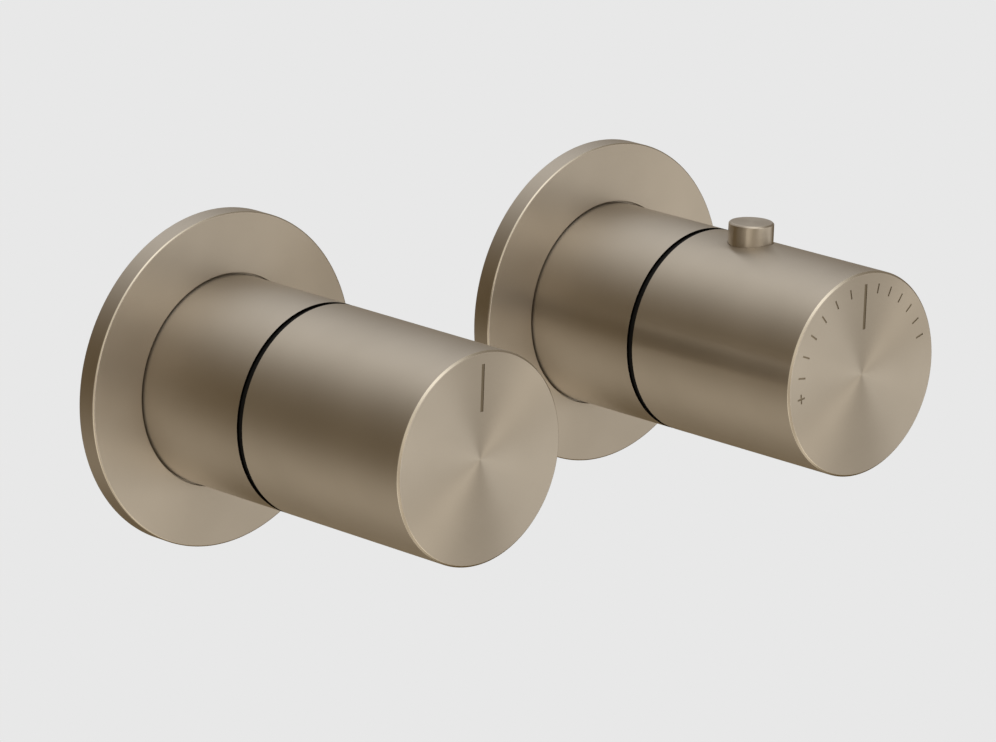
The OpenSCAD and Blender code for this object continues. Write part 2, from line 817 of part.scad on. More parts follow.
module shuttle() {
    color("gold") temp_side() difference() {
        union() {
            ring(shuttle_r - shuttle_wall, shuttle_r, shuttle_back, shuttle_front);
            rod(shuttle_r - shuttle_wall / 2, web_back, web_front);
        }
        rod(wax_cup_r + slip_room, web_back - overrun, web_front + overrun);
        ring_groove(shuttle_r - shuttle_seal_section, shuttle_r,
            web_middle, shuttle_seal_section);
        for (turn = [0 : window_count - 1]) rotate([0, 0, 360 * turn / window_count])
            translate([(shuttle_hub_r + shuttle_r - shuttle_wall) / 2, 0, 0])
                rod(web_hole_r, web_back - overrun, web_front + overrun);
    }
}
module shuttle_seal() {
    color("black") temp_side()
        round_ring(shuttle_r - shuttle_seal_section, shuttle_r + running_room / 2, web_middle);
}
module return_spring() {
    color("lightsteelblue") temp_side() translate([0, 0, body_floor])
        coil_spring(return_coil_r, return_wire_r, web_back - body_floor, return_turns);
}

module stop_ring() {
    color("dimgray") temp_side() difference() {
        union() {
            rod(stop_rim_r, stop_disc_start, stop_disc_start + stop_disc_t);
            ring(stop_rim_r - stop_rim_t, stop_rim_r, stop_disc_start, stop_rim_end);
            rotate([0, 0, stop_tooth_turn]) upright_box(stop_tooth_w, catch_top + free_room,
                stop_rim_r - stop_rim_t / 2, stop_rim_end - stop_tooth_length, stop_rim_end);
        }
        rod(tower_r + ring_room, stop_disc_start - overrun, stop_disc_start + stop_disc_t + overrun);
    }
}
module temp_knob() {
    color("rosybrown") temp_side() difference() {
        union() {
            knob_blank();
            intersection() {
                upright_rod(guide_r + guide_boss_wall, guide_boss_start, knob_r, button_place);
                rod(knob_inner_r + knob_wall / 2, knob_start, knob_end);
            }
        }
        upright_rod(guide_r + ring_room, 0, guide_top + ring_room, button_place);
        upright_rod(button_hole_r, 0, knob_r + overrun, button_place);
        for (mark = [1 : 1 : hotter_marks]) rotate([0, 0, mark * hotter_step]) engraved_tick();
        for (mark = [1 : 1 : colder_marks]) rotate([0, 0, -mark * colder_step]) engraved_tick();
        rotate([0, 0, (hotter_marks + 1) * hotter_step]) engraved_plus();
    }
}
module button_guide() {
    color("black") temp_side() difference() {
        upright_rod(guide_r, guide_floor - guide_floor_t, guide_top, button_place);
        upright_rod(button_hole_r, guide_floor, guide_top + overrun, button_place);
        upright_rod(button_stem_r + running_room, 0, guide_top, button_place);
    }
}
module safety_button() {
    color("tan") temp_side() translate([0, 0, button_place]) rotate([-90, 0, 0]) turned([
        [0, catch_top], [button_stem_r, catch_top], [button_stem_r, button_bottom],
        [button_r, button_bottom], [button_r, button_top - button_bevel],
        [button_r - button_bevel, button_top], [0, button_top]
    ]);
}
module button_spring() {
    color("lightsteelblue") temp_side() translate([0, guide_floor, button_place]) rotate([-90, 0, 0])
        coil_spring(button_coil_r, button_wire_r, button_bottom - guide_floor, button_turns);
}
module button_catch() {
    color("silver") temp_side()
        upright_box(catch_w, catch_top - catch_t, catch_top, catch_back, button_place + catch_overhang);
}

// Flow unit
module flow_rosette() { color("rosybrown") flow_side() rosette(); }
module flow_wall_gasket() { color("dimgray") flow_side() wall_gasket(); }
module flow_neck_sleeve() { color("tan") flow_side() neck_sleeve(); }
module flow_sleeve_orings() { color("black") flow_side() sleeve_orings(); }
module flow_glide_ring() { color("black") flow_side() glide_ring(); }
module flow_mounting_screws() { color("silver") flow_side() mounting_screws(); }
module flow_adapter_screw() { color("silver") flow_side() adapter_screw(); }
module flow_knob() { color("rosybrown") flow_side() knob_blank(); }
module flow_grub_screw() { color("silver") flow_side() grub_screw(); }
module flow_spindle_orings() { color("black") flow_side() spindle_orings(); }
module flow_circlip() { color("silver") flow_side() circlip(); }

module flow_block() {
    outlet_z = turning_disc_end + driver_length / 2;
    color("goldenrod") flow_side() difference() {
        block_blank();
        rod(head_cavity_r, cavity_floor, turret_end + overrun);
        rod(head_thread_r + slip_room, head_thread_start - slip_room, turret_end + overrun);
        side_port(1, outlet_z + channel_r);
        cross_channel(1, outlet_z);
    }
}
module flow_port_seals() {
    color("black") flow_side() {
        seal_at(middle_port_d / 2);
        translate([port_offset, 0, 0]) seal_at(side_port_d / 2);
    }
}
module flow_spline_adapter() {
    color("white") flow_side() union() {
        adapter_blank();
        difference() {
            union() {
                upright_box(lug_w, 0, lug_reach, spline_start, spline_start + 2 * washer_t);
                upright_box(lug_w, lug_foot_inner_r, lug_reach,
                    washer_start + washer_t + free_room, spline_start + washer_t);
            }
            rod(adapter_hub_r - overrun / 2, 0, knob_end);
        }
    }
}
module headwork_body() {
    window_z = turning_disc_end + (driver_length - outlet_window_h) / 2;
    color("gold") flow_side() difference() {
        union() {
            rod(head_barrel_r, head_barrel_start, head_thread_start + overrun);
            rod(head_thread_r, head_thread_start, head_hex_start + overrun);
            hexagon(head_hex_r, head_hex_start, head_hex_start + head_hex_t);
            rod(head_tower_r, head_hex_start, tower_end);
        }
        rod(head_chamber_r, head_barrel_start - overrun, driver_collar_end + slip_room);
        rod(spindle_r + running_room, driver_collar_start, tower_end + overrun);
        for (turn = [90, -90]) rotate([0, 0, turn])
            upright_box(outlet_window_w, 0, head_barrel_r + overrun, window_z, window_z + outlet_window_h);
    }
}
module headwork_gasket() {
    color("firebrick") flow_side() ring(head_thread_r + slip_room, head_thread_r + head_gasket_w,
        turret_end + ring_room, head_hex_start - ring_room);
}
module flow_spindle() {
    color("gold") flow_side() union() {
        spindle_shaft(driver_collar_start);
        rod(driver_collar_r, driver_collar_start, driver_collar_end);
        rod(driver_r, turning_disc_end + ring_room, driver_collar_end);
        for (turn = [0, 180]) rotate([0, 0, turn]) upright_box(driver_lug_w, driver_r / 2,
            driver_r + driver_lug_reach, turning_disc_end - driver_lug_depth + slip_room,
            turning_disc_end + driver_lug_depth);
    }
}
// A quarter opening through a ceramic disc, cut between two angles
module disc_opening(from_z) {
    half_turn = disc_hole_turn / 2;
    reach = disc_d;
    intersection() {
        ring(disc_hole_inner_r, disc_hole_r, from_z - overrun, from_z + disc_t + overrun);
        translate([0, 0, from_z - overrun]) linear_extrude(disc_t + 2 * overrun) polygon([
            [0, 0], [reach * cos(half_turn), reach * sin(half_turn)],
            [reach * cos(half_turn), -reach * sin(half_turn)]
        ]);
    }
}
module fixed_disc() {
    color("ivory") flow_side() difference() {
        rod(disc_d / 2, disc_start, disc_start + disc_t);
        for (turn = [0, 180]) rotate([0, 0, turn]) disc_opening(disc_start);
    }
}
module rotating_disc() {
    color("ivory") flow_side() difference() {
        rod(disc_d / 2, turning_disc_start, turning_disc_end);
        for (turn = [90, 270]) rotate([0, 0, turn]) disc_opening(turning_disc_start);
        for (turn = [0, 180]) rotate([0, 0, turn]) upright_box(driver_lug_w + 2 * slip_room,
            driver_r / 2 - slip_room, driver_r + driver_lug_reach + slip_room,
            turning_disc_end - driver_lug_depth, turning_disc_end + overrun);
    }
}
module seat_seal() {
    color("black") flow_side()
        ring(seat_seal_inner_r, seat_seal_r, cavity_floor + ring_room, disc_start - ring_room);
}
module stop_washer() {
    color("silver") flow_side() union() {
        ring(head_tower_r + ring_room, washer_r, washer_start, washer_start + washer_t);
        for (turn = washer_turns) rotate([0, 0, turn]) upright_box(washer_tooth_w, washer_tooth_inner_r,
            washer_r - free_room, washer_start, washer_start + washer_t + washer_tooth_h);
    }
}

temp_rosette();
temp_wall_gasket();
temp_neck_sleeve();
temp_sleeve_orings();
temp_glide_ring();
temp_block();
temp_port_seals();
temp_mounting_screws();
temp_spline_adapter();
temp_adapter_screw();
temp_knob();
temp_grub_screw();
cartridge_body();
cartridge_orings();
inlet_strainers();
cartridge_nut();
cartridge_bonnet();
temp_spindle();
temp_spindle_orings();
temp_circlip();
feed_nut();
overtravel_spring();
spring_cup();
spring_retainer();
wax_element();
wax_rod();
shuttle();
shuttle_seal();
return_spring();
stop_ring();
safety_button();
button_catch();
button_spring();
button_guide();
flow_rosette();
flow_wall_gasket();
flow_neck_sleeve();
flow_sleeve_orings();
flow_glide_ring();
flow_block();
flow_port_seals();
flow_mounting_screws();
flow_spline_adapter();
flow_adapter_screw();
flow_knob();
flow_grub_screw();
headwork_body();
headwork_gasket();
flow_spindle();
flow_spindle_orings();
flow_circlip();
rotating_disc();
fixed_disc();
seat_seal();
stop_washer();
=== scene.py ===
import json
import math

import bmesh
import bpy
from mathutils import Matrix, Vector


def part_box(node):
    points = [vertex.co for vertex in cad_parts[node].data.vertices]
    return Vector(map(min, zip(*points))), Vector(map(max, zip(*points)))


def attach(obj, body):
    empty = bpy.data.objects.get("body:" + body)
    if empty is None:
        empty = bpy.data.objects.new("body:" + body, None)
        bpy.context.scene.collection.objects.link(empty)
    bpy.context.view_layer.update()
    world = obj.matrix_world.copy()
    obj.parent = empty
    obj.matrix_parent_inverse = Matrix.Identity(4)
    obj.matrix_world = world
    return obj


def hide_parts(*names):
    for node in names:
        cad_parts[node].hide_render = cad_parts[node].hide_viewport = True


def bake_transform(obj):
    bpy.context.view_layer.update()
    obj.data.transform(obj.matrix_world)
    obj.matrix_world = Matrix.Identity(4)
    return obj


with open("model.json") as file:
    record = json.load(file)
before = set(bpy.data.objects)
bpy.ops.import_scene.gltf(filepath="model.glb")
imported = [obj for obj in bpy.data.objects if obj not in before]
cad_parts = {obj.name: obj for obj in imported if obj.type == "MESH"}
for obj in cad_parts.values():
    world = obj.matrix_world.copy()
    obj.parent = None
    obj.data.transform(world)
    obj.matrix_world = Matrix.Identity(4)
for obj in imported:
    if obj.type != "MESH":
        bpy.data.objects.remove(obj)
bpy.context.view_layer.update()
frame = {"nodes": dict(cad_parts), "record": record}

# Lengths are in metres
MM = 0.001

# The camera sees both units as the photograph does. Its focal length is in the photograph's pixels, and its
# angles are in degrees
IMAGE_WIDTH = 996
FOCAL_PIXELS = 6230
SENSOR_WIDTH = 36
CAMERA_YAW = -44.3
CAMERA_PITCH = 14.65
CAMERA_ROLL = 2.0
CAMERA_DISTANCE = 1450 * MM
CAMERA_TARGET = Vector((-80.1, -50, 4.6)) * MM
FAR_CLIP = 50


def place_camera():
    yaw, pitch, roll = (math.radians(a) for a in (CAMERA_YAW, CAMERA_PITCH, CAMERA_ROLL))
    back = Vector((math.sin(yaw) * math.cos(pitch), -math.cos(yaw) * math.cos(pitch), math.sin(pitch)))
    level = Vector((math.cos(yaw), math.sin(yaw), 0))
    upright = back.cross(level)
    right = level * math.cos(roll) + upright * math.sin(roll)
    up = upright * math.cos(roll) - level * math.sin(roll)
    data = bpy.data.cameras.new("camera")
    data.sensor_width = SENSOR_WIDTH
    data.lens = FOCAL_PIXELS * SENSOR_WIDTH / IMAGE_WIDTH
    data.clip_end = FAR_CLIP
    camera = bpy.data.objects.new("camera", data)
    axes = Matrix((right, up, back)).transposed().to_4x4()
    camera.matrix_world = Matrix.Translation(CAMERA_TARGET + back * CAMERA_DISTANCE) @ axes
    bpy.context.scene.collection.objects.link(camera)
    bpy.context.scene.camera = camera


place_camera()


# Shader maths: an expression on values adds its Math nodes
class Value:
    """A number, colour or vector that a node gives."""

    def __init__(self, tree, socket):
        self.tree = tree
        self.socket = socket

    def maths(self, operation, *terms):
        return self.tree.node("ShaderNodeMath", {"operation": operation}, dict(enumerate(terms)))

    def __add__(self, other):
        return self.maths("ADD", self, other)

    def __sub__(self, other):
        return self.maths("SUBTRACT", self, other)

    def __rsub__(self, other):
        return self.maths("SUBTRACT", other, self)

    def __mul__(self, other):
        return self.maths("MULTIPLY", self, other)

    def __pow__(self, other):
        return self.maths("POWER", self, other)

    def __rpow__(self, other):
        return self.maths("POWER", other, self)

    __radd__ = __add__
    __rmul__ = __mul__

    def above(self, level):
        """1 where this is above a level, and 0 elsewhere."""
        return self.maths("GREATER_THAN", self, level)

    def turn_from(self, other):
        """The angle round the z axis of a point that has this as its y and the other as its x."""
        return self.maths("ARCTAN2", self, other)


# Sockets of a Mix node that blends colours
MIX_FACTOR = 0
MIX_LOW = 6
MIX_HIGH = 7
MIX_RESULT = 2


class Tree:
    """The nodes of one material or world."""

    def __init__(self, owner):
        owner.use_nodes = True
        self.tree = owner.node_tree
        self.tree.nodes.clear()

    def node(self, kind, settings, sockets, output=0):
        """A node with its settings, then the values or links of its sockets; gives one of its outputs."""
        node = self.tree.nodes.new(kind)
        for name, setting in settings.items():
            if name == "stops":
                for element, (place, level) in zip(node.color_ramp.elements, setting):
                    element.position = place
                    element.color = (level, level, level, 1)
            else:
                setattr(node, name, setting)
        for name, term in sockets.items():
            if isinstance(term, Value):
                self.tree.links.new(term.socket, node.inputs[name])
            else:
                node.inputs[name].default_value = term
        return Value(self, node.outputs[output]) if node.outputs else None

    def along(self, vector, direction):
        """How far a vector reaches in a direction."""
        sockets = {0: vector, 1: Vector(direction).normalized()}
        return self.node("ShaderNodeVectorMath", {"operation": "DOT_PRODUCT"}, sockets, "Value")

    def stretch(self, vector, scales):
        return self.node("ShaderNodeVectorMath", {"operation": "MULTIPLY"}, {0: vector, 1: scales})

    def blend(self, factor, low, high, how="MIX"):
        low, high = (c if isinstance(c, Value) else (*c, 1) for c in (low, high))
        settings = {"data_type": "RGBA", "blend_type": how}
        sockets = {MIX_FACTOR: factor, MIX_LOW: low, MIX_HIGH: high}
        return self.node("ShaderNodeMix", settings, sockets, MIX_RESULT)

    def ramp(self, factor, low, high):
        """0 up to the low stop, 1 from the high one, and even between them."""
        return self.node("ShaderNodeValToRGB", {"stops": [(low, 0), (high, 1)]}, {"Fac": factor})

    def noise(self, place, scale, detail=2.0):
        return self.node("ShaderNodeTexNoise", {}, {"Vector": place, "Scale": scale, "Detail": detail})

    def cloud(self, place, scale, low, high, detail=2.0):
        """Noise of a scale, 0 up to one of its levels and 1 from another."""
        return self.ramp(self.noise(place, scale, detail), low, high)

    def bump(self, height, distance):
        return self.node("ShaderNodeBump", {}, {"Height": height, "Distance": distance}, "Normal")

    def place(self):
        """Where a point is on its piece, in metres."""
        return self.node("ShaderNodeTexCoord", {}, {}, "Object")

    def axes(self, place):
        """The x, y and z of a place."""
        return [self.node("ShaderNodeSeparateXYZ", {}, {"Vector": place}, axis) for axis in "XYZ"]


def reach(x, y):
    """The distance from the z axis."""
    return (x * x + y * y) ** 0.5


# The room: a pale floor far below the object, and soft light from a few wide directions
PALE = (0.807, 0.807, 0.807)
FLOOR_DROP = 0.35
FLOOR_HALF = 30
AMBIENT = (0.12, 0.075, 0.02)
PLAIN = (1.00, 1.00, 0.98)
WARM = (1.00, 0.95, 0.86)
COOL = (0.96, 1.00, 1.05)
# Where each light comes from, how tight it is, how strong, and its tint
LIGHTS = [
    ((0.12, -0.99, -0.10), 13, 1.70, PLAIN),
    ((0.20, -0.60, -0.77), 13, 1.50, WARM),
    ((-0.27, -0.35, 0.90), 7, 1.35, PLAIN),
    ((-0.81, -0.30, -0.50), 9, 1.05, WARM),
    ((0.30, 0.57, 0.77), 4.5, 0.88, COOL),
    ((0.87, -0.48, -0.12), 13, 0.72, PLAIN),
    ((-0.51, 0.13, -0.85), 7.5, 0.64, WARM),
    ((-0.65, -0.73, 0.23), 13, 0.65, WARM),
    ((0.67, -0.72, 0.19), 13, 0.40, PLAIN),
    ((0.10, -0.70, 0.72), 12, 0.60, PLAIN),
]


def light_room():
    """Lights the object from all round, and shows the camera plain pale air."""
    world = bpy.data.worlds.new("room")
    bpy.context.scene.world = world
    tree = Tree(world)
    toward = tree.node("ShaderNodeTexCoord", {}, {}, "Generated")
    glow = AMBIENT
    for direction, tightness, strength, tint in LIGHTS:
        near = math.e ** (tightness * (tree.along(toward, direction) - 1))
        glow = tree.blend(near, glow, [strength * part for part in tint], "ADD")
    seen = tree.node("ShaderNodeLightPath", {}, {}, "Is Camera Ray")
    background = tree.node("ShaderNodeBackground", {}, {"Color": tree.blend(seen, glow, PALE)})
    tree.node("ShaderNodeOutputWorld", {}, {"Surface": background})


def lay_floor():
    """A floor that only the camera sees, so that it neither lights the metal nor shows in it."""
    mesh = bpy.data.meshes.new("floor")
    sides = ((-1, -1), (1, -1), (1, 1), (-1, 1))
    corners = [(x * FLOOR_HALF, y * FLOOR_HALF, -FLOOR_DROP) for x, y in sides]
    mesh.from_pydata(corners, [], [(0, 1, 2, 3)])
    floor = bpy.data.objects.new("floor", mesh)
    bpy.context.scene.collection.objects.link(floor)
    material = bpy.data.materials.new("pale_floor")
    tree = Tree(material)
    glow = tree.node("ShaderNodeEmission", {}, {"Color": (*PALE, 1)})
    tree.node("ShaderNodeOutputMaterial", {}, {"Surface": glow})
    mesh.materials.append(material)
    floor.visible_glossy = False
    floor.visible_diffuse = False


light_room()
lay_floor()
bpy.context.scene.view_settings.view_transform = "Standard"


# Finishes. Each has a build(tree) that gives what goes on its shader's sockets
def finish(name, build, bevel=None):
    """A material. With a bevel, all that lies beyond both its radius and its height is freshly cut."""
    material = bpy.data.materials.new(name)
    tree = Tree(material)
    shader = tree.node("ShaderNodeBsdfPrincipled", {}, build(tree))
    if bevel:
        radius, height = bevel
        x, y, z = tree.axes(tree.place())
        cut = reach(x, y).above(radius) * z.above(height)
        smooth = tree.node("ShaderNodeBsdfPrincipled", {}, cut_nickel(tree))
        shader = tree.node("ShaderNodeMixShader", {}, {"Fac": cut, 1: shader, 2: smooth})
    tree.node("ShaderNodeOutputMaterial", {}, {"Surface": shader})
    return material


def vary(middle, noise, swing):
    """A number that noise, which lies about a half, moves about its middle, by swing in all."""
    return middle + (noise - 0.5) * swing


# Nickel brushed in rings: two tones, the cloud between them, and the lines of the brush. A cloud is its
# scale, the levels of noise where it starts and where it is full, and its detail where it isn't plain
NICKEL_LOW = (0.485, 0.436, 0.370)
NICKEL_HIGH = (0.515, 0.464, 0.396)
NICKEL_CLOUD = (45, 0.35, 0.65)
FINE_GRAIN = 9000
RING_GRAIN = 5
LINE_DETAIL = 3
BRUSH_SWING = 0.10
BRUSH_DEPTH = 0.003 * MM
# The share of a turn that lays the gloss across the rings
ACROSS_RINGS = 0.25
# The floor of a mark on a knob's face; all marks lie within this distance of the knob's axis
MARK_COLOUR = (0.24, 0.20, 0.145)
MARKED_RADIUS = 23 * MM
# Painted shade: the end of a sleeve, inside the gap, is painted black like the ring beside it
PAINTED_GAP_SHADE = (0.006, 0.005, 0.004)
# A freshly cut bevel is brighter and smoother than the brushed metal beside it
CUT_LOW = (0.56, 0.51, 0.43)
CUT_HIGH = (0.62, 0.565, 0.48)
CUT_ROUGHNESS = 0.16
CUT_SWING = 0.08


def ring_grain(tree, x, y, z):
    """Fine scratches that run in rings round the piece's own z axis."""
    sockets = {"X": (reach(x, y) + z) * FINE_GRAIN, "Y": y.turn_from(x) * RING_GRAIN}
    return tree.noise(tree.node("ShaderNodeCombineXYZ", {}, sockets), 1, LINE_DETAIL)


def cut_nickel(tree):
    """Nickel turned smooth, with the faint rings of the cutter."""
    lines = ring_grain(tree, *tree.axes(tree.place()))
    return {
        "Base Color": tree.blend(lines, CUT_LOW, CUT_HIGH), "Metallic": 1,
        "Roughness": CUT_ROUGHNESS + lines * CUT_SWING,
    }


def turned_nickel(brush, roughness, marks=None, end=None):
    """Nickel brushed in rings. The floor of the marks lies between two heights and is darker; what is above
    a height end is painted black as shade."""
    def build(tree):
        place = tree.place()
        x, y, z = tree.axes(place)
        lines = ring_grain(tree, x, y, z)
        colour = tree.blend(tree.cloud(place, *NICKEL_CLOUD), NICKEL_LOW, NICKEL_HIGH)
        if marks:
            low, high = marks
            marked = z.above(low) * (1 - z.above(high)) * (1 - reach(x, y).above(MARKED_RADIUS))
            colour = tree.blend(marked, colour, MARK_COLOUR)
        # Painted shade: all that is above the height end is black
        if end:
            colour = tree.blend(z.above(end), colour, PAINTED_GAP_SHADE)
        return {
            "Base Color": colour, "Metallic": 1, "Roughness": vary(roughness, lines, BRUSH_SWING),
            "Anisotropic": brush, "Anisotropic Rotation": ACROSS_RINGS,
            "Normal": tree.bump(lines, BRUSH_DEPTH),
        }
    return build


# Bare metals inside. The cutter's lines run along the axis where their grain is coarse, and a cloud of
# tarnish makes the metal duller
ALONG_X = (300, 9000, 9000)
ALONG_Y = (9000, 300, 9000)
CUTTER_SWING = 0.16
TARNISH = (160, 0.32, 0.68, 4)
TARNISH_DULLNESS = 0.06
# Two tones, roughness, the way the cutter went, and the depth of its lines
METALS = {
    "brass": ((0.66, 0.46, 0.21), (0.78, 0.58, 0.29), 0.30, ALONG_X, 0.004 * MM),
    "stainless": ((0.50, 0.50, 0.49), (0.62, 0.62, 0.61), 0.26, ALONG_X, 0.002 * MM),
    "spring_steel": ((0.34, 0.35, 0.37), (0.50, 0.51, 0.53), 0.30, ALONG_Y, 0.002 * MM),
    "copper": ((0.62, 0.29, 0.17), (0.76, 0.42, 0.27), 0.32, ALONG_Y, 0.003 * MM),
}


def machined(low, high, roughness, grain, depth):
    """Bare metal with cutter lines along one direction and a faint cloud of tarnish."""
    def build(tree):
        place = tree.place()
        lines = tree.noise(tree.stretch(place, grain), 1, LINE_DETAIL)
        tarnish = tree.cloud(place, *TARNISH)
        return {
            "Base Color": tree.blend(tarnish, low, high), "Metallic": 1,
            "Roughness": vary(roughness, lines, CUTTER_SWING) + tarnish * TARNISH_DULLNESS,
            "Normal": tree.bump(lines, depth),
        }
    return build


# Plastics, rubber and ceramic: a soft cloud between two tones, and a fine skin
MOULDED_CLOUD = (120, 0.3, 0.7)
SKIN_DETAIL = 4
SKIN_SWING = 0.2
# Two tones, roughness, the scale of the skin's grain and its depth, and the shine
MOULDINGS = {
    "black_plastic": ((0.004, 0.004, 0.004), (0.007, 0.007, 0.007), 0.62, 5000, 0.004 * MM, 0.2),
    "seal_rubber": ((0.012, 0.012, 0.012), (0.020, 0.020, 0.020), 0.55, 4000, 0.004 * MM, 0.5),
    "white_plastic": ((0.74, 0.74, 0.71), (0.82, 0.82, 0.80), 0.42, 3000, 0.003 * MM, 0.5),
    "grey_plastic": ((0.34, 0.36, 0.38), (0.42, 0.44, 0.46), 0.45, 3000, 0.003 * MM, 0.5),
    "ceramic": ((0.78, 0.77, 0.73), (0.86, 0.85, 0.81), 0.22, 6000, 0.0005 * MM, 0.7),
}


def moulded(low, high, roughness, grain, depth, shine):
    """Plastic, rubber or ceramic with a fine skin."""
    def build(tree):
        place = tree.place()
        skin = tree.noise(place, grain, SKIN_DETAIL)
        return {
            "Base Color": tree.blend(tree.cloud(place, *MOULDED_CLOUD), low, high),
            "Roughness": vary(roughness, skin, SKIN_SWING), "Specular IOR Level": shine,
            "Normal": tree.bump(skin, depth),
        }
    return build


# Foam rubber of the wall gaskets: pits painted dark as shade, and lighter walls between them, which rise
# from the first to the second distance from a pit's middle, as shares of a cell
FOAM_PAINTED_PIT_SHADE = (0.030, 0.030, 0.031)
FOAM_HIGH = (0.085, 0.085, 0.086)
FOAM_CELLS = 1400
FOAM_WALL_SHARES = (0.15, 0.6)
FOAM_ROUGHNESS = 0.95
FOAM_POLISH = 0.1
FOAM_DEPTH = 0.12 * MM


def open_foam(tree):
    """Foam rubber with open cells, whose pits are painted darker as shade."""
    cells = tree.node("ShaderNodeTexVoronoi", {}, {"Vector": tree.place(), "Scale": FOAM_CELLS}, "Distance")
    wall = tree.ramp(cells, *FOAM_WALL_SHARES)
    return {
        # Painted shade: the pits get the dark tone, the walls the lighter one
        "Base Color": tree.blend(wall, FOAM_PAINTED_PIT_SHADE, FOAM_HIGH),
        "Roughness": FOAM_ROUGHNESS - wall * FOAM_POLISH, "Normal": tree.bump(wall, FOAM_DEPTH),
    }


# Red fibre of the washers, with flecks that are flattened along y
FIBRE_LOW = (0.30, 0.060, 0.040)
FIBRE_HIGH = (0.44, 0.115, 0.075)
FLECK_STRETCH = (1, 2.5, 1)
FLECKS = (2400, 0.42, 0.6, 3)
FIBRE_ROUGHNESS = 0.72
FLECK_DULLNESS = 0.12
FLECK_DEPTH = 0.02 * MM


def pressed_fibre(tree):
    """Red fibre washer, with flecks."""
    flecks = tree.cloud(tree.stretch(tree.place(), FLECK_STRETCH), *FLECKS)
    return {
        "Base Color": tree.blend(flecks, FIBRE_LOW, FIBRE_HIGH),
        "Roughness": FIBRE_ROUGHNESS + flecks * FLECK_DULLNESS, "Normal": tree.bump(flecks, FLECK_DEPTH),
    }


# How the material of each slot in the record is built
BUILDS = {
    "brushed_nickel": turned_nickel(brush=0.35, roughness=0.34),
    "gasket_foam": open_foam,
    "fibre": pressed_fibre,
}
BUILDS.update({name: machined(*row) for name, row in METALS.items()})
BUILDS.update({name: moulded(*row) for name, row in MOULDINGS.items()})
FINISHES = {name: finish(name, build) for name, build in BUILDS.items()}


def dress_solids():
    """Gives every solid the finish of its material slot."""
    for part in frame["record"]["subparts"]:
        for slot in frame["nodes"][part["node"]].material_slots:
            slot.material = FINISHES[part["material_slot"]]


dress_solids()


# Making of turned pieces. An outline is a list of (point, radius of its rounding), and a point is
# (distance from the axis, height along it), in metres
AXIS = 0
SHARP = 0
SOFT_EDGE = 0.12 * MM
TURN_STEPS = 256
ROUND_STEPS = 5
# Share of a rounding's radius by which the flat beside it gets a line of its own
HOLD_SHARE = 1.4
# An edge that turns by more degrees than this stays sharp
SHARP_ANGLE = 32
OUT_OF_WALL = Matrix.Rotation(math.pi / 2, 4, "X")
UP = Matrix.Identity(4)


def rounded(outline):
    """The points of an outline, with each corner rounded."""
    result = []
    for index, (point, radius) in enumerate(outline):
        corner = Vector(point)
        if radius == SHARP:
            result.append(corner)
            continue
        before = (Vector(outline[index - 1][0]) - corner).normalized()
        after = (Vector(outline[(index + 1) % len(outline)][0]) - corner).normalized()
        result.append(corner + before * radius * HOLD_SHARE)
        for step in range(ROUND_STEPS + 1):
            t = step / ROUND_STEPS
            result.append(corner + before * radius * (1 - t) ** 2 + after * radius * t ** 2)
        result.append(corner + after * radius * HOLD_SHARE)
    return result


def spun(outline):
    """A closed outline spun round the z axis, as a bmesh."""
    model = bmesh.new()
    turns = [2 * math.pi * step / TURN_STEPS for step in range(TURN_STEPS)]
    rings = []
    for point in rounded(outline):
        if point.x == AXIS:
            rings.append([model.verts.new((0, 0, point.y))] * TURN_STEPS)
        else:
            ring = [(point.x * math.cos(a), point.x * math.sin(a), point.y) for a in turns]
            rings.append([model.verts.new(corner) for corner in ring])
    for low, high in zip(rings, rings[1:] + rings[:1]):
        for step in range(TURN_STEPS):
            corners = list(dict.fromkeys((low[step], low[step - 1], high[step - 1], high[step])))
            if len(corners) > 2:
                model.faces.new(corners)
    bmesh.ops.recalc_face_normals(model, faces=model.faces)
    return model


def rod(radius, start, end):
    points = ((AXIS, start), (radius, start), (radius, end), (AXIS, end))
    return spun([(point, SHARP) for point in points])


def block(size, centre, turn=0.0):
    """A box as a bmesh, turned round the z axis in degrees."""
    model = bmesh.new()
    place = Matrix.Rotation(math.radians(turn), 4, "Z") @ Matrix.Translation(centre)
    bmesh.ops.create_cube(model, size=1, matrix=place @ Matrix.Diagonal((*size, 1)))
    return model


def stand_up(model, height):
    """Turns a spun bmesh's axis to +y, at a height along the z axis."""
    place = Matrix.Translation((0, 0, height)) @ Matrix.Rotation(-math.pi / 2, 4, "X")
    bmesh.ops.transform(model, matrix=place, verts=model.verts)
    return model


def soften(piece):
    """Shades a piece smooth, apart from its sharp edges."""
    piece.data.shade_smooth()
    piece.data.set_sharp_from_angle(angle=math.radians(SHARP_ANGLE))


def piece_from(name, model, origin=(0, 0, 0), facing=OUT_OF_WALL):
    """An object made of a bmesh, with its z axis out of the wall unless it faces another way."""
    mesh = bpy.data.meshes.new(name)
    model.to_mesh(mesh)
    model.free()
    piece = bpy.data.objects.new(name, mesh)
    piece.matrix_world = Matrix.Translation(origin) @ facing
    bpy.context.scene.collection.objects.link(piece)
    soften(piece)
    return piece


def carve(piece, operation, models):
    """Adds each bmesh to a piece, or cuts it away, in the piece's own axes."""
    for model in models:
        tool = piece_from("tool", model)
        tool.matrix_world = piece.matrix_world
        change = piece.modifiers.new(operation.lower(), "BOOLEAN")
        change.operation = operation
        change.solver = "EXACT"
        change.object = tool
        graph = bpy.context.evaluated_depsgraph_get()
        shape = bpy.data.meshes.new_from_object(piece.evaluated_get(graph))
        piece.modifiers.clear()
        piece.data = shape
        bpy.data.objects.remove(tool)
    soften(piece)


def stand_for(piece, material, node):
    """Gives a piece its finish, and puts it in place of a solid."""
    piece.data.materials.clear()
    piece.data.materials.append(material)
    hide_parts(node)


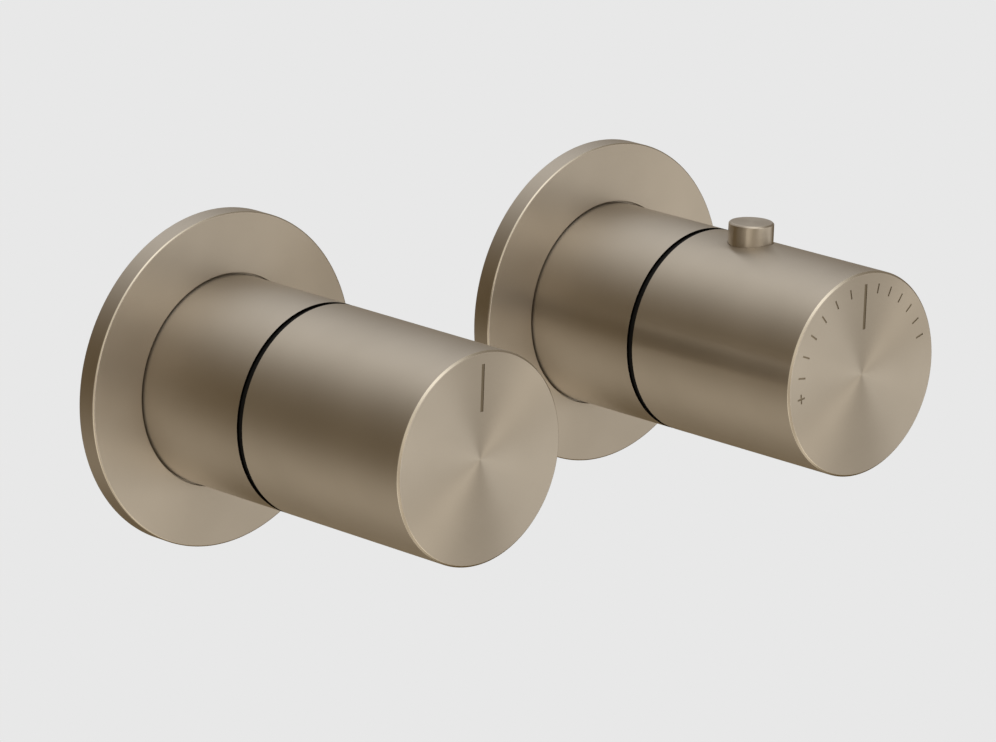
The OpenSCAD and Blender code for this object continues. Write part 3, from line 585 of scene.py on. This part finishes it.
def hand_over(piece, body, material, node):
    """Puts a piece in place of a solid, to move with a body."""
    stand_for(piece, material, node)
    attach(piece, body)


def middle(node):
    low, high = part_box(node)
    return (low + high) / 2


def wall_point(node):
    """Where the axis of a solid meets the face of the wall."""
    return (middle(node).x, 0, 0)


def spans(node):
    """The radius of a turned solid, and its near and far distance from the wall."""
    low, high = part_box(node)
    return (high.x - low.x) / 2, -high.y, -low.y


# Rosettes
ROSETTE_WALL = 1.5 * MM
ROSETTE_BEVEL = 0.3 * MM
NECK_RADIUS = 25 * MM
SEAM = 0.45 * MM


def rosette(unit):
    radius, back, front = spans(f"{unit}_rosette")
    hole = NECK_RADIUS + SEAM
    plate = front - ROSETTE_WALL
    rim = radius - ROSETTE_WALL
    bevel = (radius - ROSETTE_BEVEL, front - ROSETTE_BEVEL)
    outline = [
        ((hole, plate), SHARP),
        ((rim, plate), SHARP),
        ((rim, back), SHARP),
        ((radius, back), SOFT_EDGE),
        ((radius, front - ROSETTE_BEVEL), SOFT_EDGE),
        ((radius - ROSETTE_BEVEL, front), SOFT_EDGE),
        ((hole, front), SOFT_EDGE),
    ]
    piece = piece_from(f"{unit}_rosette_shell", spun(outline), wall_point(f"{unit}_rosette"))
    nickel = finish(f"{unit}_rosette_nickel", turned_nickel(brush=0.85, roughness=0.34), bevel)
    hand_over(piece, "wall_side", nickel, f"{unit}_rosette")


# Neck sleeves
SLEEVE_WALL = 1.7 * MM
SLEEVE_LIP = 0.4 * MM
GAP_EDGE = 0.05 * MM


def neck_sleeve(unit):
    lip_radius, lip, front = spans(f"{unit}_neck_sleeve")
    inner = NECK_RADIUS - SLEEVE_WALL
    outline = [
        ((inner, lip), SHARP),
        ((lip_radius, lip), SHARP),
        ((lip_radius, lip + SLEEVE_LIP), SHARP),
        ((NECK_RADIUS, lip + SLEEVE_LIP), SHARP),
        ((NECK_RADIUS, front), GAP_EDGE),
        ((inner, front), SHARP),
    ]
    piece = piece_from(f"{unit}_neck_tube", spun(outline), wall_point(f"{unit}_neck_sleeve"))
    # The sleeve's end inside the gap gets painted black shade
    build = turned_nickel(brush=0.85, roughness=0.36, end=front - GAP_EDGE / 2)
    nickel = finish(f"{unit}_sleeve_nickel_painted_gap_shade", build)
    hand_over(piece, "wall_side", nickel, f"{unit}_neck_sleeve")


# Knobs
KNOB_WALL = 2 * MM
KNOB_FACE = 3 * MM
KNOB_BEVEL = 0.5 * MM
SOCKET_RADIUS = 12.05 * MM
SOCKET_WALL = 1.8 * MM
SOCKET_DEPTH = 24 * MM
GRUB_HOLE_RADIUS = 2.55 * MM
BOSS_WALL = 2.05 * MM
BUTTON_ROOM = 0.08 * MM
# How far a cut reaches past the metal
OVERRUN = 1 * MM
# The line on each knob's face, between two distances from its axis
LINE_SPAN = (11 * MM, 22 * MM)
LINE_WIDTH = 0.9 * MM
# The ticks on the temperature knob's face, so many degrees apart, which end in a plus on the hot side
TICK_LENGTH = 2.4 * MM
TICK_WIDTH = 0.45 * MM
HOTTER_STEP = 14
COLDER_STEP = 12
MARKS_EACH_SIDE = 6
MARK_DEPTH = 0.1 * MM
# The colour of a mark's floor covers what lies between these shares of its depth
MARK_COLOUR_SHARES = (1.5, 0.25)


def mark(front, start, end, width, turn):
    """The block that cuts a mark into a face, from start to end away from its axis, turned in degrees."""
    size = (width, end - start, MARK_DEPTH + OVERRUN)
    return block(size, (0, (start + end) / 2, front + (OVERRUN - MARK_DEPTH) / 2), turn)


def dial_marks(front):
    end = LINE_SPAN[1]
    start = end - TICK_LENGTH
    halfway = (start + end) / 2
    plus_turn = (MARKS_EACH_SIDE + 1) * HOTTER_STEP
    turns = [step * HOTTER_STEP for step in range(1, MARKS_EACH_SIDE + 1)] + [plus_turn]
    turns += [-step * COLDER_STEP for step in range(1, MARKS_EACH_SIDE + 1)]
    marks = [mark(front, start, end, TICK_WIDTH, turn) for turn in turns]
    marks.append(mark(front, halfway - TICK_WIDTH / 2, halfway + TICK_WIDTH / 2, TICK_LENGTH, plus_turn))
    return marks


def button_hole():
    """What the safety button needs free in the side of the temperature knob."""
    low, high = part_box("safety_button")
    hole = rod((high.x - low.x) / 2 + BUTTON_ROOM, SOCKET_RADIUS + SOCKET_WALL, high.z)
    return stand_up(hole, -middle("safety_button").y)


def knob_outline(radius, back, front):
    """A cup with a socket for the spline adapter in its middle."""
    inner = radius - KNOB_WALL
    floor = front - KNOB_FACE
    socket_end = floor - SOCKET_DEPTH
    socket_outer = SOCKET_RADIUS + SOCKET_WALL
    return [
        ((inner, back), SHARP),
        ((radius, back), GAP_EDGE),
        ((radius, front - KNOB_BEVEL), SOFT_EDGE),
        ((radius - KNOB_BEVEL, front), SOFT_EDGE),
        ((AXIS, front), SHARP),
        ((AXIS, floor), SHARP),
        ((SOCKET_RADIUS, floor), SHARP),
        ((SOCKET_RADIUS, socket_end), SHARP),
        ((socket_outer, socket_end), SHARP),
        ((socket_outer, floor), SHARP),
        ((inner, floor), SHARP),
    ]


def knob(unit, body):
    radius, back, front = spans(f"{unit}_knob")
    outline = knob_outline(radius, back, front)
    piece = piece_from(f"{unit}_knob_shell", spun(outline), wall_point(f"{unit}_knob"))
    grub = -middle(f"{unit}_grub_screw").y
    boss = stand_up(rod(GRUB_HOLE_RADIUS + BOSS_WALL, KNOB_WALL / 2 - radius, -SOCKET_RADIUS), grub)
    hole = stand_up(rod(GRUB_HOLE_RADIUS, -radius - OVERRUN, -SOCKET_RADIUS + SOCKET_WALL), grub)
    carve(piece, "UNION", [boss])
    carve(piece, "DIFFERENCE", [hole, mark(front, *LINE_SPAN, LINE_WIDTH, 0)])
    if unit == "temp":
        carve(piece, "DIFFERENCE", [*dial_marks(front), button_hole()])
    bevel = (radius - KNOB_BEVEL, front - KNOB_BEVEL)
    marks = [front - MARK_DEPTH * share for share in MARK_COLOUR_SHARES]
    nickel = finish(f"{unit}_knob_nickel", turned_nickel(brush=1.0, roughness=0.36, marks=marks), bevel)
    hand_over(piece, body, nickel, f"{unit}_knob")


# Safety button
BUTTON_HEAD_HEIGHT = 9.8 * MM
BUTTON_STEM_RADIUS = 2.4 * MM
BUTTON_BEVEL = 0.4 * MM


def safety_button():
    low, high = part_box("safety_button")
    radius = (high.x - low.x) / 2
    seat = high.z - BUTTON_HEAD_HEIGHT
    outline = [
        ((AXIS, low.z), SHARP),
        ((BUTTON_STEM_RADIUS, low.z), SHARP),
        ((BUTTON_STEM_RADIUS, seat), SHARP),
        ((radius, seat), SHARP),
        ((radius, high.z - BUTTON_BEVEL), SOFT_EDGE),
        ((radius - BUTTON_BEVEL, high.z), SOFT_EDGE),
        ((AXIS, high.z), SHARP),
    ]
    origin = middle("safety_button")
    piece = piece_from("button_cap", spun(outline), (origin.x, origin.y, 0), UP)
    nickel = finish("button_nickel", turned_nickel(brush=0.60, roughness=0.30))
    hand_over(piece, "button", nickel, "safety_button")


# Mounting screws
SCREW_CIRCLE_RADIUS = 28 * MM
SCREW_TURNS = (45, 135, 225, 315)
SCREW_HEAD_RADIUS = 4 * MM
SCREW_SHANK_RADIUS = 1.8 * MM
SCREW_HEAD_HEIGHT = 2 * MM
SLOT_WIDTH = 1 * MM
SLOT_DEPTH = 0.8 * MM
# The block that cuts a slot reaches past the head, and as far above its top as below it
SLOT_BLOCK = (4 * SCREW_HEAD_RADIUS, SLOT_WIDTH, 2 * SLOT_DEPTH)
THREAD_RADIUS = 1.98 * MM
THREAD_DEPTH = 0.36 * MM
THREAD_PITCH = 0.7 * MM
THREAD_SIDES = 32
# Where the rows of one thread turn lie, and how far down the flank each one is
THREAD_SHARES = ((0.0, 1.0), (0.06, 1.0), (0.44, 0.0), (0.56, 0.0), (0.94, 1.0))


def threaded_rod(start, end):
    """A thread from one height to another, with flat ends, as a bmesh."""
    model = bmesh.new()
    rows = []
    for turn in range(-1, math.ceil((end - start) / THREAD_PITCH) + 1):
        for along, fall in THREAD_SHARES:
            row = []
            for side in range(THREAD_SIDES):
                angle = 2 * math.pi * side / THREAD_SIDES
                z = start + (turn + along + side / THREAD_SIDES) * THREAD_PITCH
                radius = THREAD_RADIUS - THREAD_DEPTH * fall
                row.append(model.verts.new((radius * math.cos(angle), radius * math.sin(angle), z)))
            rows.append(row)
    for low, high in zip(rows, rows[1:]):
        for side in range(THREAD_SIDES - 1):
            model.faces.new((low[side], low[side + 1], high[side + 1], high[side]))
    # Each turn's last side meets the first side of the turn above it
    lead = len(THREAD_SHARES)
    for index in range(len(rows) - lead - 1):
        low, high = rows[index:index + 2]
        low_next, high_next = rows[index + lead:index + lead + 2]
        model.faces.new((low[-1], low_next[0], high_next[0], high[-1]))
    # Both ends are cut flat and closed
    for height, outward in ((start, -1), (end, 1)):
        whole = [*model.verts, *model.edges, *model.faces]
        cut = bmesh.ops.bisect_plane(
            model, geom=whole, plane_co=(0, 0, height), plane_no=(0, 0, outward), clear_outer=True
        )
        edges = [part for part in cut["geom_cut"] if isinstance(part, bmesh.types.BMEdge)]
        bmesh.ops.contextual_create(model, geom=edges)
    return model


def one_screw(end, flange):
    """The mesh of a countersunk screw, from its tip at end to its slotted head at flange."""
    outline = [
        ((AXIS, 0), SHARP),
        ((SCREW_SHANK_RADIUS, 0), SHARP),
        ((SCREW_SHANK_RADIUS, flange - SCREW_HEAD_HEIGHT), SHARP),
        ((SCREW_HEAD_RADIUS, flange), SHARP),
        ((AXIS, flange), SHARP),
    ]
    head = piece_from("head", spun(outline))
    carve(head, "DIFFERENCE", [block(SLOT_BLOCK, (0, 0, flange))])
    model = threaded_rod(end, 0)
    model.from_mesh(head.data)
    bpy.data.objects.remove(head)
    mesh = bpy.data.meshes.new("one_screw")
    model.to_mesh(mesh)
    model.free()
    return mesh


def mounting_screws(unit):
    end, flange = spans(f"{unit}_mounting_screws")[1:]
    screw = one_screw(end, flange)
    aside = Matrix.Translation((SCREW_CIRCLE_RADIUS, 0, 0))
    group = bmesh.new()
    for turn in SCREW_TURNS:
        done = len(group.verts)
        group.from_mesh(screw)
        group.verts.ensure_lookup_table()
        place = Matrix.Rotation(math.radians(turn), 4, "Z") @ aside
        bmesh.ops.transform(group, matrix=place, verts=group.verts[done:])
    bpy.data.meshes.remove(screw)
    piece = piece_from(f"{unit}_plate_screws", group, wall_point(f"{unit}_mounting_screws"))
    hand_over(piece, "wall_side", FINISHES["stainless"], f"{unit}_mounting_screws")


# Springs
WIRE_SIDES = 14
COIL_STEPS = 48
# Solid, wire radius, turns, the way it faces, and the bodies from its seat to its far end
SPRINGS = [
    ("button_spring", 0.3 * MM, 3, UP, ("temp_control", "button")),
    ("return_spring", 0.5 * MM, 3, OUT_OF_WALL, ("wall_side", "feed", "thermostat")),
    ("overtravel_spring", 0.5 * MM, 3, OUT_OF_WALL, ("feed", "feed")),
]


def coil(coil_radius, wire, length, turns, first, last):
    """A coil spring that stands at height 0, as one tube along a helix, between two shares of its steps."""
    model = bmesh.new()
    rows = []
    steps = COIL_STEPS * turns
    for step in range(round(first * steps), round(last * steps) + 1):
        angle = 2 * math.pi * step / COIL_STEPS
        height = wire + (length - 2 * wire) * step / steps
        row = []
        for side in range(WIRE_SIDES):
            across = 2 * math.pi * side / WIRE_SIDES
            radius = coil_radius + wire * math.cos(across)
            z = height + wire * math.sin(across)
            row.append(model.verts.new((radius * math.cos(angle), radius * math.sin(angle), z)))
        rows.append(row)
    for low, high in zip(rows, rows[1:]):
        for side in range(WIRE_SIDES):
            model.faces.new((low[side], low[side - 1], high[side - 1], high[side]))
    model.faces.new(rows[0])
    model.faces.new(rows[-1])
    bmesh.ops.recalc_face_normals(model, faces=model.faces)
    return model


def spring(node, wire, turns, facing, bodies):
    """A coil spring in one stretch between each two bodies. A stretch whose ends lie on one body moves with
    it;
    the others stay where they are.
    """
    low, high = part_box(node)
    centre = middle(node)
    coil_radius = (high.x - low.x) / 2 - wire
    if facing == UP:
        length = high.z - low.z
        foot = Vector((centre.x, centre.y, low.z))
    else:
        length = high.y - low.y
        foot = Vector((centre.x, high.y, centre.z))
    rise = facing.col[2].xyz * length
    stretches = len(bodies) - 1
    for index, (seat, far) in enumerate(zip(bodies, bodies[1:])):
        first, last = index / stretches, (index + 1) / stretches
        model = coil(coil_radius, wire, length, turns, first, last)
        piece = piece_from(f"{node}_coil_{index + 1}", model, foot, facing)
        stand_for(piece, FINISHES["spring_steel"], node)
        if seat == far:
            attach(piece, seat)
        else:
            foot + rise * first
            foot + rise * last
            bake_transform(piece)


# The two units, and the body that turns with each one's knob
UNITS = {"temp": "temp_control", "flow": "flow_control"}

for unit, body in UNITS.items():
    rosette(unit)
    neck_sleeve(unit)
    knob(unit, body)
safety_button()
for unit in UNITS:
    mounting_screws(unit)
for row in SPRINGS:
    spring(*row)
